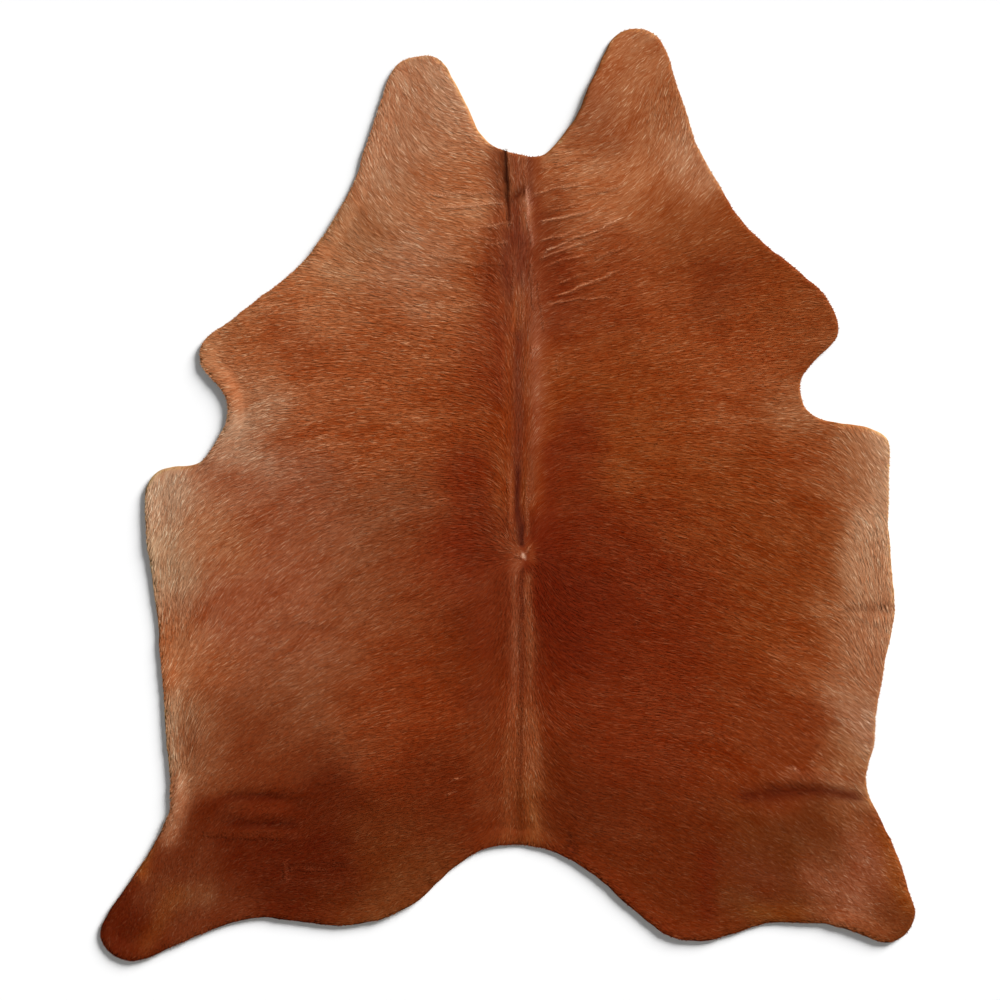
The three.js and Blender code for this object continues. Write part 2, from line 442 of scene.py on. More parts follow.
def triangles_within(points):
    """Triangles that join the points inside the edge, anticlockwise from above."""
    _, _, faces, before, _, _ = geometry.delaunay_2d_cdt(
        [Vector(point) for point in points], [], [list(range(len(edge)))], 1, 1e-7
    )
    order = np.array([sources[0] for sources in before])
    faces = order[np.array(faces)]
    clockwise = doubled_areas(points, faces) < 0
    faces[clockwise] = faces[clockwise][:, ::-1]
    return faces


def drift(x, y, seed, shortest, longest, count=14):
    """Soft clouds about 0 with a spread of about 1, made of waves in all directions."""
    dice = np.random.default_rng(seed)
    total = np.zeros_like(x)
    for _ in range(count):
        heading = dice.uniform(0, 2 * math.pi)
        rate = 2 * math.pi / dice.uniform(shortest, longest)
        total += np.sin(rate * (x * math.cos(heading) + y * math.sin(heading)) + dice.uniform(0, 6.3))
    return total / math.sqrt(count / 2)


def edge_lift(points):
    """How far the dried rim of the hide curls up off the floor, most on the lower left."""
    distance, normal = to_edge(points)
    lower_left = smooth(-0.6, 0.5, -(normal * CURL_SIDE).sum(axis=1))
    curl = CURL * (0.2 + 0.8 * lower_left) * (1 + 0.2 * drift(*points.T, 31, 0.25, 0.70))
    return curl * (1 - smooth(0, CURL_REACH, distance))


upper = sheet_points(WIDE_GRID, FINE_GRID)
upper_faces = triangles_within(upper)
lower = sheet_points(UNDER_GRID, None)
lower_faces = triangles_within(lower)
upper_lift = broad_lift(*upper.T) + fold_lift(*upper.T) + edge_lift(upper)
lower_lift = broad_lift(*lower.T) + edge_lift(lower)
upper_z = np.maximum(LEATHER + upper_lift, LEAST_TOP)
lower_z = np.maximum(lower_lift, 0)
lower_z[: len(edge)] = np.minimum(lower_z[: len(edge)], upper_z[: len(edge)] - LEAST_RIM)

# Colours of the coat, 0 to 255, named as a breeder would. The pale pinkish ones are partly the
# coat's own colour and partly painted sheen of hair that catches the light.
COAT = {
    "cream fawn": (197, 152, 121),
    "bleached fawn": (178, 145, 120),
    "pale fawn": (181, 134, 107),
    "fawn": (178, 125, 94),
    "dull fawn": (166, 132, 104),
    "light tan": (177, 112, 74),
    "tan": (164, 112, 78),
    "sand": (149, 98, 67),
    "ginger": (159, 99, 64),
    "copper": (156, 85, 48),
    "rose brown": (141, 79, 52),
    "bright chestnut": (147, 73, 35),
    "russet": (133, 68, 32),
    "chestnut": (134, 61, 21),
    "red brown": (126, 53, 20),
    "fox brown": (126, 70, 42),
    "mahogany": (118, 44, 15),
    "sienna": (104, 40, 12),
    "dark sienna": (96, 34, 8),
    "liver": (96, 24, 3),
    "umber": (79, 23, 3),
    "ash brown": (102, 49, 19),
    "dusky brown": (96, 41, 18),
}

# Where the coat has which colour: middle in picture elements and how far it reaches. The pale
# zones of the neck lobes, the left shoulder and the belly edges are partly painted sheen.
COAT_ZONES = [
    # where, column, row, reach, colour
    ("left neck lobe, tip", 415, 75, 34, "fawn"),
    ("left neck lobe, middle", 415, 130, 36, "fawn"),
    ("left neck, outer edge", 372, 165, 26, "fawn"),
    ("left neck, base", 445, 200, 36, "light tan"),
    ("left neck, above the shoulder", 340, 225, 36, "tan"),
    ("left shoulder", 290, 285, 36, "light tan"),
    ("left foreleg", 250, 325, 28, "ginger"),
    ("left foreleg, tip", 215, 350, 20, "tan"),
    ("left foreleg, rear", 255, 375, 24, "copper"),
    ("left armpit", 240, 425, 26, "bleached fawn"),
    ("left shoulder, rear", 330, 380, 40, "copper"),
    ("left shoulder, middle", 300, 342, 20, "red brown"),
    ("left withers, outer side", 412, 262, 24, "pale fawn"),
    ("left withers", 450, 290, 40, "copper"),
    ("left middle", 400, 400, 48, "bright chestnut"),
    ("left beside the spine, front", 485, 420, 32, "red brown"),
    ("left side", 270, 500, 48, "rose brown"),
    ("left flank", 260, 600, 48, "rose brown"),
    ("left belly, front corner", 162, 490, 22, "bleached fawn"),
    ("left belly", 162, 565, 26, "dull fawn"),
    ("left belly, rear", 174, 660, 26, "ginger"),
    ("left flank, rear", 215, 740, 34, "fox brown"),
    ("left flank, rear edge", 166, 742, 27, "dull fawn"),
    ("left side, edge", 222, 535, 23, "tan"),
    ("left middle, rear", 380, 560, 48, "fox brown"),
    ("left back", 430, 562, 28, "mahogany"),
    ("left loin", 420, 690, 48, "red brown"),
    ("left beside the spine, rear", 480, 640, 34, "dark sienna"),
    ("left thigh, upper", 300, 700, 40, "fox brown"),
    ("left thigh", 260, 765, 34, "dark sienna"),
    ("left hind", 310, 840, 40, "umber"),
    ("left hind leg", 195, 885, 32, "dusky brown"),
    ("left hind tip", 120, 940, 24, "umber"),
    ("left rump", 390, 870, 38, "ash brown"),
    ("left croup", 445, 800, 38, "dark sienna"),
    ("tail head", 508, 810, 26, "sienna"),
    ("right neck lobe, inner side", 596, 120, 22, "fox brown"),
    ("right neck lobe, tip", 645, 60, 32, "ginger"),
    ("right neck lobe, middle", 650, 125, 36, "ginger"),
    ("right neck, outer edge", 697, 160, 23, "fawn"),
    ("right neck, base", 590, 190, 34, "light tan"),
    ("right neck, above the shoulder", 690, 235, 36, "russet"),
    ("right withers, outer side", 655, 290, 24, "bright chestnut"),
    ("right shoulder, front", 722, 288, 22, "sienna"),
    ("right shoulder", 770, 280, 36, "chestnut"),
    ("right foreleg", 810, 320, 28, "russet"),
    ("right shoulder, rear", 720, 350, 40, "bright chestnut"),
    ("right armpit", 797, 405, 20, "ginger"),
    ("right withers", 590, 300, 40, "red brown"),
    ("right middle", 650, 400, 48, "chestnut"),
    ("right beside the spine, front", 570, 430, 32, "chestnut"),
    ("right side, front", 722, 408, 24, "copper"),
    ("right side, outer", 795, 465, 26, "bright chestnut"),
    ("right side, behind the armpit", 838, 466, 19, "ginger"),
    ("right side", 740, 490, 48, "chestnut"),
    ("right belly, front corner", 882, 470, 19, "cream fawn"),
    ("right belly", 882, 540, 23, "cream fawn"),
    ("right belly, middle", 864, 596, 20, "cream fawn"),
    ("right belly, rear", 862, 650, 29, "fawn"),
    ("right flank", 790, 600, 48, "chestnut"),
    ("right flank, outer", 804, 655, 18, "bright chestnut"),
    ("right flank, rear", 870, 728, 14, "pale fawn"),
    ("right flank, rear corner", 848, 768, 17, "tan"),
    ("right middle, rear", 660, 600, 48, "mahogany"),
    ("right beside the spine, rear", 575, 620, 38, "liver"),
    ("right loin", 620, 720, 48, "mahogany"),
    ("right croup", 570, 810, 38, "dark sienna"),
    ("right rump", 650, 860, 40, "sienna"),
    ("right thigh", 770, 740, 40, "red brown"),
    ("right hind", 790, 860, 34, "ash brown"),
    ("right hind leg", 865, 880, 28, "rose brown"),
    ("right hind tip", 885, 925, 22, "ash brown"),
]

# Lines and marks in the coat, from one place to another: half width and strength of the colour.
# Some are painted shade in creases and hollows, and painted highlights on ridges, swells and wrinkles.
STROKES = [
    # what, from column, row, to column, row, half width, colour, strength
    ("neck, left of the fold", 498, 150, 498, 205, 9, (120, 60, 34), 0.75),
    ("neck, panel", 517, 156, 518, 186, 9, (122, 60, 36), 0.8),
    ("neck, panel, right side", 530, 154, 531, 200, 5, (104, 48, 28), 0.85),
    ("neck, beside the ridge", 535, 196, 538, 224, 5, (106, 42, 20), 0.8),
    ("neck, below the hollow", 514, 206, 516, 240, 9, (98, 38, 20), 0.8),
    ("neck, right of the panel", 537, 160, 540, 214, 6, (116, 50, 20), 0.75),
    # Painted shade in the hollows on either side of the backbone at the withers, in this line and the
    # next three.
    ("withers, left hollow, front", 494, 222, 494, 268, 12, (114, 44, 16), 0.75),
    ("withers, left hollow, rear", 492, 280, 491, 322, 13, (116, 42, 14), 0.7),
    ("withers, right hollow, front", 556, 190, 556, 250, 15, (116, 48, 18), 0.65),
    ("withers, right hollow, rear", 558, 258, 556, 322, 17, (113, 43, 16), 0.7),
    ("withers, mauve band", 524, 240, 524, 276, 15, (110, 50, 32), 0.8),
    # The pink band is partly the coat's own colour and partly painted sheen.
    ("withers, pink band", 532, 286, 534, 330, 13, (132, 72, 48), 0.8),
    ("withers, mauve side, front", 507, 236, 507, 294, 6, (100, 42, 24), 0.7),
    ("withers, mauve side", 508, 300, 506, 330, 5, (112, 50, 26), 0.6),
    # Painted shade in the near right hollow of the withers.
    ("withers, right hollow, near", 545, 216, 545, 262, 11, (108, 44, 18), 0.7),
    ("withers, strand 1", 515, 262, 513, 300, 0.9, (156, 98, 72), 0.4),
    ("withers, strand 2", 524, 270, 523, 330, 0.9, (164, 106, 80), 0.5),
    ("withers, strand 3", 531, 262, 534, 310, 1.0, (170, 112, 86), 0.5),
    ("withers, strand 4", 538, 280, 543, 330, 0.9, (160, 100, 72), 0.45),
    ("withers, strand 5", 519, 300, 518, 340, 0.9, (90, 38, 26), 0.5),
    # The fold beside the spine on the neck and the hollow at its foot: painted shade, in this line and
    # the next four.
    ("neck, fold, shade", 503, 152, 505, 200, 3.4, (96, 44, 20), 0.8),
    ("neck, fold, upper", 505.4, 150, 507.2, 180, 1.7, (48, 16, 4), 1.0),
    ("neck, fold, middle", 507.2, 180, 509, 202, 1.5, (56, 20, 6), 0.95),
    ("neck, fold, lower", 509, 202, 509.4, 226, 1.6, (76, 28, 12), 0.9),
    ("neck, hollow", 525, 189, 512, 198, 4, (82, 30, 10), 0.95),
    # Painted highlights on the neck panel's edge and on its ridges, in this line and the next three.
    ("neck, panel, light side", 525.5, 158, 526, 188, 0.9, (146, 84, 60), 0.45),
    ("neck, pale ridge", 527, 189, 528, 213, 1.1, (206, 144, 120), 0.9),
    ("neck, pale ridge, middle", 528, 213, 533, 246, 1.7, (170, 108, 86), 0.7),
    ("neck, second ridge", 523, 201, 527, 216, 0.9, (170, 106, 82), 0.6),
    # Wrinkles of the neck and withers, down to the last withers wrinkle: painted highlights along their
    # crests.
    ("left neck wrinkle 1", 432, 194, 470, 193, 0.9, (210, 152, 120), 0.6),
    ("left neck wrinkle 2", 442, 207, 504, 203, 0.8, (216, 158, 126), 0.7),
    ("left neck wrinkle 3", 470, 194, 497, 190, 0.8, (196, 134, 100), 0.6),
    ("left neck wrinkle 4", 464, 229, 511, 223, 0.8, (204, 140, 106), 0.68),
    ("left neck wrinkle 5", 474, 235, 499, 238, 0.9, (190, 122, 88), 0.65),
    ("left neck wrinkle 6", 486, 244, 508, 243, 0.9, (190, 122, 88), 0.65),
    ("left neck wrinkle 7", 430, 256, 462, 257, 0.9, (196, 134, 100), 0.45),
    ("left neck wrinkle 8", 460, 262, 505, 263, 0.9, (176, 108, 74), 0.55),
    ("left neck wrinkle 9", 470, 272, 496, 276, 0.9, (170, 100, 66), 0.45),
    ("left withers wrinkle", 454, 307, 495, 302, 0.9, (180, 110, 72), 0.6),
    ("right neck wrinkle 1", 540, 168, 575, 160, 0.9, (196, 132, 98), 0.55),
    ("right neck wrinkle 2", 534, 193, 582, 183, 0.8, (206, 144, 110), 0.62),
    ("right neck wrinkle 3", 542, 221, 566, 217, 0.8, (220, 164, 132), 0.72),
    ("right neck wrinkle 4", 566, 217, 590, 210, 0.8, (212, 152, 120), 0.62),
    ("right neck wrinkle 5", 541, 241, 575, 230, 0.8, (206, 140, 106), 0.62),
    ("right neck wrinkle 6", 546, 250, 577, 238, 0.8, (222, 166, 134), 0.7),
    ("right neck wrinkle 7", 577, 238, 614, 221, 0.8, (214, 154, 122), 0.62),
    ("right neck wrinkle 8", 540, 257, 580, 244, 0.8, (206, 140, 106), 0.62),
    ("right neck wrinkle 9", 580, 244, 602, 234, 0.9, (200, 136, 102), 0.5),
    ("right neck wrinkle 10", 550, 264, 582, 254, 0.8, (196, 126, 92), 0.62),
    ("right neck wrinkle 11", 596, 258, 622, 247, 0.9, (196, 128, 94), 0.55),
    ("right neck wrinkle 12", 552, 211, 580, 203, 0.8, (204, 142, 108), 0.5),
    ("right neck wrinkle 13", 586, 194, 620, 186, 0.9, (204, 146, 112), 0.5),
    ("right withers wrinkle 1", 558, 295, 588, 283, 0.8, (206, 140, 104), 0.68),
    ("right withers wrinkle 2", 588, 283, 616, 271, 0.8, (204, 140, 106), 0.62),
    ("right withers wrinkle 3", 554, 303, 572, 299, 0.8, (190, 120, 84), 0.6),
    ("right withers wrinkle 4", 572, 299, 612, 297, 0.8, (184, 112, 76), 0.6),
    ("right withers wrinkle 5", 560, 283, 580, 275, 0.8, (186, 116, 82), 0.6),
    ("back, dark stripe", 498, 330, 498, 400, 9, (116, 42, 16), 0.7),
    ("back, left light patch", 450, 418, 492, 422, 18, (146, 68, 28), 0.4),
    ("back, left dark patch", 462, 470, 464, 540, 22, (113, 37, 11), 0.7),
    ("back, left dark stripe", 484, 492, 488, 560, 11, (108, 36, 12), 0.65),
    ("back, golden flame", 498, 440, 500, 505, 7, (136, 64, 28), 0.75),
    ("back, left shade", 474, 335, 478, 372, 14, (122, 48, 20), 0.5),
    ("back, right light patch", 572, 352, 590, 350, 18, (142, 68, 30), 0.4),
    ("back, right dark patch", 576, 425, 576, 535, 27, (110, 36, 10), 0.75),
    ("back, right dark stripe", 550, 450, 550, 545, 11, (104, 31, 8), 0.75),
    # The pink band right of the backbone, in this line and the next, is partly the coat's own colour and
    # partly painted sheen.
    ("back, pink band", 537, 334, 534, 440, 8, (140, 76, 50), 0.85),
    ("back, pink band, rear", 532, 445, 531, 500, 5, (130, 66, 40), 0.8),
    ("back, mauve core", 519, 335, 518, 468, 6, (110, 50, 30), 0.85),
    ("back, pale spot", 534, 347, 534, 353, 2.6, (184, 120, 94), 0.7),
    ("back, pale lock", 556, 352, 559, 376, 1.2, (184, 114, 80), 0.4),
    ("back, dark line", 518, 470, 518, 540, 3.4, (82, 30, 18), 0.95),
    ("back, left pale edge", 510, 478, 511, 524, 2.0, (156, 84, 52), 0.75),
    ("back, right pale edge", 528, 478, 527, 532, 2.2, (146, 78, 48), 0.7),
    ("whorl, left halo", 514, 524, 516, 562, 5, (134, 70, 42), 0.7),
    ("whorl, right halo", 530, 546, 531, 562, 5, (138, 70, 34), 0.5),
    ("whorl, dark patch", 462, 550, 466, 566, 22, (113, 37, 15), 0.5),
    ("whorl, dark line", 521, 524, 522.5, 546, 2.2, (76, 26, 14), 0.95),
    ("whorl, white hairs", 523.6, 555.3, 524.4, 556.2, 1.1, (240, 220, 206), 0.95),
    ("whorl, strand 1", 525, 554, 530, 548, 0.9, (196, 140, 112), 0.6),
    ("whorl, strand 2", 516, 555.5, 523, 555.8, 0.8, (186, 124, 96), 0.5),
    ("loin, left patch", 480, 565, 484, 640, 21, (105, 39, 15), 0.75),
    ("loin, left feather", 514.5, 566, 515, 722, 5.5, (132, 70, 44), 0.75),
    ("loin, right feather", 529.5, 580, 530, 722, 6.5, (136, 72, 42), 0.8),
    ("loin, left shade, rear", 478, 692, 482, 716, 16, (101, 39, 16), 0.75),
    ("loin, dark line", 521.8, 568, 523, 618, 1.2, (88, 34, 16), 0.75),
    ("loin, dark line, rear", 521.4, 620, 522.6, 700, 1.1, (104, 46, 24), 0.62),
    ("croup, feather", 524, 712, 525, 785, 14, (138, 74, 42), 0.75),
    ("croup, feather, rear", 531, 788, 530, 838, 15, (127, 68, 32), 0.7),
    ("croup, feather, heart", 535, 718, 534, 784, 6, (146, 82, 48), 0.6),
    ("croup, feather, left", 508, 735, 506, 838, 7, (124, 64, 32), 0.55),
    ("croup, feather, flame", 533, 808, 536, 828, 4, (146, 84, 46), 0.55),
    ("croup, left shade", 484, 722, 484, 800, 16, (110, 50, 22), 0.6),
    ("croup, dark line", 521.6, 700, 520.4, 780, 2.0, (98, 42, 18), 0.72),
    ("croup, dark line, rear", 520.4, 780, 519.4, 848, 3.4, (94, 40, 12), 0.7),
    ("tail bay, golden edge", 492, 838, 550, 840, 5, (108, 56, 20), 0.15),
    ("left croup, fleck 1", 455, 780, 459, 778, 1.1, (196, 136, 106), 0.6),
    ("left croup, fleck 2", 449, 795, 453, 793, 1.1, (190, 130, 100), 0.5),
    # Painted shade in the crease of the rump.
    ("rump, short line", 570.7, 834, 570.7, 853, 0.9, (44, 10, 2), 0.9),
    ("left thigh, dark patch", 206, 818, 290, 822, 19, (86, 28, 6), 0.9),
    # Painted shade along the trough of the left thigh, in this line and the next two.
    ("left thigh, trough, middle", 228, 796.5, 280, 796, 4, (72, 20, 4), 0.95),
    ("left thigh, trough, outer end", 212, 804, 228, 797, 4, (82, 26, 6), 0.8),
    ("left thigh, trough, inner end", 280, 796, 302, 805, 4, (80, 25, 5), 0.85),
    # Painted highlight on the swell between the left thigh's trough and the one below.
    ("left thigh, light between", 250, 811, 284, 810, 5, (106, 42, 18), 0.6),
    # Painted shade in the crease of the left leg.
    ("left leg, crease", 232, 824, 294, 825, 3.6, (72, 20, 4), 0.85),
    ("left leg, light crease", 204, 833, 284, 835, 3, (104, 42, 16), 0.5),
    # Painted shade in the second crease of the left leg.
    ("left leg, second crease", 220, 842, 350, 843, 3.5, (76, 22, 4), 0.6),
    ("left leg, dark patch", 240, 864, 330, 872, 24, (82, 24, 4), 0.8),
    ("left leg, dark line", 290, 866, 348, 864, 1.6, (62, 16, 2), 0.4),
    ("left leg, fine line down", 285, 860, 287, 882, 0.9, (150, 84, 60), 0.45),
    ("left leg, fine line across", 291, 869, 330, 868.6, 0.9, (132, 62, 38), 0.4),
    ("left leg, grey patch", 180, 897, 204, 893, 14, (124, 78, 50), 0.6),
    # Painted sheen: the pale pink edge of the left leg, here and in its lower part below the edge line.
    ("left leg, pink edge", 180, 780, 180, 788, 5, (184, 136, 108), 0.6),
    ("left leg, edge line", 173.6, 776, 174.6, 795, 1.2, (92, 40, 18), 0.8),
    ("left leg, pink edge, lower", 178, 804, 170, 836, 11, (156, 106, 78), 0.7),
    ("left leg, golden edge", 148, 846, 144, 872, 8, (140, 78, 36), 0.8),
    ("left hind leg", 170, 895, 146, 945, 13, (118, 62, 26), 0.6),
    # Painted shade along the trough of the right thigh, in this line and the next.
    ("right thigh, trough", 745, 795, 775, 791, 6.5, (84, 26, 8), 0.9),
    ("right thigh, trough, outer end", 775, 791, 856, 795, 6, (82, 26, 8), 0.85),
    # Painted highlights on the swells above and below the right thigh's trough, in this line and the
    # next.
    ("right thigh, light above", 784, 778, 858, 777, 7, (146, 78, 48), 0.55),
    ("right thigh, light below", 836, 815, 868, 832, 13, (140, 78, 42), 0.5),
    ("right hind, upper", 775, 826, 800, 830, 17, (112, 52, 24), 0.5),
    ("right hind, dark middle", 742, 860, 770, 882, 22, (111, 46, 23), 0.5),
    ("right leg, pink patch", 818, 880, 850, 892, 19, (146, 84, 57), 0.6),
    ("right leg, golden edge", 884, 832, 908, 908, 10, (142, 74, 26), 0.7),
    ("right hind, rear edge", 754, 912, 796, 912, 9, (121, 63, 21), 0.6),
    ("right rump, dark patch", 706, 854, 708, 912, 9, (99, 29, 7), 0.6),
    ("right thigh, fleck", 793, 769, 796, 768, 1.0, (220, 170, 140), 0.7),
    # Painted shade in the belly and flank creases, in this line and the next.
    ("right belly, crease", 850, 611, 892, 609, 3.4, (100, 52, 28), 0.4),
    ("left flank, crease", 268, 631, 332, 629, 3.4, (104, 46, 22), 0.35),
    ("left flank, scratch", 300, 590, 266, 614, 1.6, (176, 112, 80), 0.35),
    ("right flank, scratch", 768, 662, 800, 644, 4.5, (156, 84, 52), 0.35),
]

# Strokes up to NARROW wide have fine hair of their own. Those fainter than FIRM come broken up,
# and a wrinkle, a painted highlight along its crest, has a line of painted shade as far below it as
# WRINKLE_HEIGHT tells.
NARROW = 3.3
FIRM = 0.6
WRINKLE_SHADE = 0.10
WRINKLE_HEIGHT = 2.2
ZONE_SWAY = 6
STROKE_SWAY = 0.16

# What the light takes from the colours and the coat gives back, what a paler hair gains in red,
# green and blue, partly as painted sheen, and how the cut rim is darker than the rest.
COAT_GAIN = np.array([1.23, 1.13, 1.01])
PALER = np.array([0.68, 1.05, 1.12])
RIM_REACH = 0.004
RIM_TINT = np.array([0.86, 0.88, 0.74])

# Clouds of paler and darker hair, drawn out along its lie, partly the coat's own mottling and
# partly painted sheen: width and length in metres, strength.
CLUMPS = [(0.006, 0.035, 1.5), (0.014, 0.060, 2.2), (0.038, 0.120, 3.0)]

# Dark coats vary less than pale ones: red value at which nothing varies, red value from there
# to full variation, least and most. The neck and the legs, told by their rows, vary more.
CALM_RED = 70
RED_RANGE = 75
VARIATION = (0.4, 1.15)
NECK_ROWS = (150, 240)
NECK_EXTRA = 0.15
LEG_ROWS = (800, 880)
LEG_EXTRA = 0.25


def to_linear(colour):
    """Colour values from 0 to 255 as the linear light that a shader takes."""
    share = np.asarray(colour, dtype=float) / 255
    return np.where(share <= 0.04045, share / 12.92, ((share + 0.055) / 1.055) ** 2.4)


def stroke_cover(column, row, start, end, spread):
    """1 on the line from start to end, falling away softly to the sides and past the ends."""
    run = np.subtract(end, start)
    length = max(float(np.hypot(*run)), 1e-6)
    along = ((column - start[0]) * run[0] + (row - start[1]) * run[1]) / length
    off = ((column - start[0]) * run[1] - (row - start[1]) * run[0]) / length
    beyond = np.maximum(np.maximum(-along, along - length), 0)
    return np.exp(-((off / spread) ** 2) - (beyond / max(2.0, spread)) ** 2)


def wobble(x, y):
    """How far in picture elements the fine lines stray from straight, sideways and along."""
    return 0.5 * drift(x, y, 13, 0.03, 0.09), 0.7 * drift(x, y, 14, 0.03, 0.09)


def coat_colour(x, y):
    """The coat's colour at places on the rug, from 0 to 255, with painted sheen, highlights and shade.
    """
    column, row = picture_places(x, y)
    sway_x = drift(x, y, 11, 0.10, 0.30)
    sway_y = drift(x, y, 12, 0.10, 0.30)
    swayed_column = column + ZONE_SWAY * sway_x
    swayed_row = row + ZONE_SWAY * sway_y
    total = np.zeros((len(x), 3))
    weight = np.zeros(len(x))
    for _, at, down, reach, name in COAT_ZONES:
        near = (swayed_column - at) ** 2 + (swayed_row - down) ** 2
        w = np.exp(-near / (2 * reach**2)) + 1e-9
        weight += w
        total += w[:, None] * np.array(COAT[name])
    colour = total / weight[:, None]
    stray_x, stray_y = wobble(x, y)
    patchy = np.clip(0.8 + 0.3 * drift(x, y, 15, 0.02, 0.07), 0.25, 1)
    for what, x0, y0, x1, y1, spread, paint, strength in STROKES:
        if spread <= NARROW:
            there = (column + stray_x, row + stray_y)
            share = patchy if strength < FIRM else 1
            cover = share * stroke_cover(*there, (x0, y0), (x1, y1), spread)
            # A wrinkle also gets a line of painted shade just below its painted highlight.
            if "wrinkle" in what:
                below = (y0 + WRINKLE_HEIGHT, y1 + WRINKLE_HEIGHT)
                shade = stroke_cover(*there, (x0, below[0]), (x1, below[1]), 1.5 * spread)
                colour = colour * (1 - WRINKLE_SHADE * shade)[:, None]
        else:
            soft = STROKE_SWAY * spread
            there = (column + soft * sway_x, row + soft * sway_y)
            cover = stroke_cover(*there, (x0, y0), (x1, y1), spread)
        colour = colour + (strength * cover)[:, None] * (np.array(paint) - colour)
    return np.clip(colour, 0, 255)


distance_in, edge_normal = to_edge(upper)
distance_in[: len(edge)] = 0

# How the hair lies: degrees from straight out, away from the backbone, positive towards the neck
# and negative towards the tail, with the hair's length in millimetres.
LIE = [
    # where, column, row, reach, angle, length
    ("left neck lobe, tip", 418, 66, 22, 52, 20),
    ("left neck lobe, outer side", 390, 120, 26, 76, 24),
    ("left neck lobe, inner side", 445, 120, 26, 34, 24),
    ("left neck, outer edge", 375, 190, 32, 68, 26),
    ("left neck, middle", 440, 190, 28, 18, 26),
    ("left neck, inner side", 487, 190, 22, -8, 26),
    ("left neck, above the shoulder", 350, 232, 30, 54, 26),
    ("left withers, front", 430, 250, 34, 16, 26),
    ("left shoulder, front", 300, 280, 30, -8, 26),
    ("left shoulder", 370, 290, 36, 7, 28),
    ("left foreleg", 250, 330, 34, -16, 22),
    ("left foreleg, tip", 212, 356, 16, 18, 18),
    ("left shoulder, rear", 300, 380, 45, -8, 26),
    ("left withers", 420, 340, 45, 6, 28),
    ("left armpit", 235, 440, 32, -36, 24),
    ("left side, front", 310, 455, 45, -12, 28),
    ("left middle", 410, 450, 50, -2, 28),
    ("left belly, front corner", 165, 495, 24, -78, 26),
    ("left side", 250, 520, 38, -34, 28),
    ("left belly", 165, 600, 26, -92, 28),
    ("left flank", 215, 590, 26, -54, 28),
    ("left side, middle", 320, 570, 50, -42, 28),
    ("left back", 420, 560, 45, -28, 28),
    ("left belly, rear", 172, 720, 24, -98, 28),
    ("left flank, rear", 225, 690, 32, -38, 28),
    ("left side, rear", 310, 670, 45, -33, 28),
    ("left loin", 420, 690, 55, -20, 28),
    ("left thigh", 270, 780, 40, -40, 24),
    ("left thigh, inner side", 380, 775, 45, -16, 24),
    ("left hind, front", 315, 820, 30, -46, 20),
    ("left hind", 300, 890, 40, -2, 18),
    ("left hind leg", 190, 870, 40, -58, 16),
    ("left hind leg, tip", 128, 925, 30, -62, 14),
    ("left rump", 395, 880, 40, -26, 20),
    ("left croup", 455, 810, 36, -16, 24),
    ("right neck lobe, tip", 628, 50, 24, 34, 20),
    ("right neck lobe, inner side", 608, 110, 26, 42, 24),
    ("right neck lobe, outer side", 668, 120, 26, 80, 24),
    ("right neck, outer edge", 700, 180, 28, 68, 26),
    ("right neck, middle", 650, 185, 26, 55, 26),
    ("right neck, inner side", 585, 175, 30, 14, 26),
    ("right withers, front", 590, 235, 32, 18, 26),
    ("right neck, above the shoulder", 690, 235, 36, 31, 26),
    ("right shoulder", 720, 290, 45, 8, 26),
    ("right withers", 600, 320, 40, 15, 28),
    ("right foreleg", 800, 325, 36, 3, 22),
    ("right shoulder, rear", 720, 365, 45, 3, 26),
    ("right middle, front", 640, 390, 45, 7, 28),
    ("right armpit", 798, 390, 22, 8, 24),
    ("right side, front", 760, 455, 40, -11, 28),
    ("right middle", 640, 465, 45, -2, 28),
    ("right belly, front corner", 865, 455, 24, -56, 26),
    ("right side", 780, 520, 40, -26, 28),
    ("right belly", 880, 560, 24, -86, 28),
    ("right back", 640, 545, 42, -21, 28),
    ("right flank", 760, 600, 50, -22, 28),
    ("right loin", 640, 650, 50, -13, 28),
    ("right belly, rear", 876, 640, 24, -84, 28),
    ("right loin, rear", 640, 730, 40, -5, 28),
    ("right flank, rear", 780, 690, 45, -21, 28),
    ("right waist", 850, 730, 30, -40, 26),
    ("right thigh", 770, 780, 42, -36, 24),
    ("right croup", 600, 810, 36, -10, 24),
    ("right thigh, inner side", 680, 810, 36, -24, 24),
    ("right hind", 790, 850, 36, -37, 18),
    ("right rump", 650, 870, 40, -26, 20),
    ("right hind, rear edge", 740, 905, 32, -4, 18),
    ("right hind leg", 865, 870, 34, -35, 16),
    ("right hind leg, tip", 890, 920, 28, -20, 14),
]

# How far a lock may hang over the trimmed edge, how the lengths spread round those of the table,
# the shortest hair, the length at which it is least unruly, and how far the lie sways.
OVERHANG = 0.0008
LENGTH_SPREAD = (0.75, 1.15)
SHORTEST = 0.0035
PLAIN_LENGTH = 0.028
LIE_SWAY = 2.5

# The lie close to the parting, in columns beside it and degrees, in front of the whorl and behind.
FRONT_LIE = ([0, 8, 18, 30, 45], [88, 80, 40, 18, 10])
REAR_LIE = ([0, 10, 20, 35, 60], [-88, -80, -60, -36, -26])
PARTING_COLUMNS = (30, 85)
WHORL_ROWS = 22
SHORT_AT_PARTING = 0.75
SHORT_AT_WHORL = 0.30


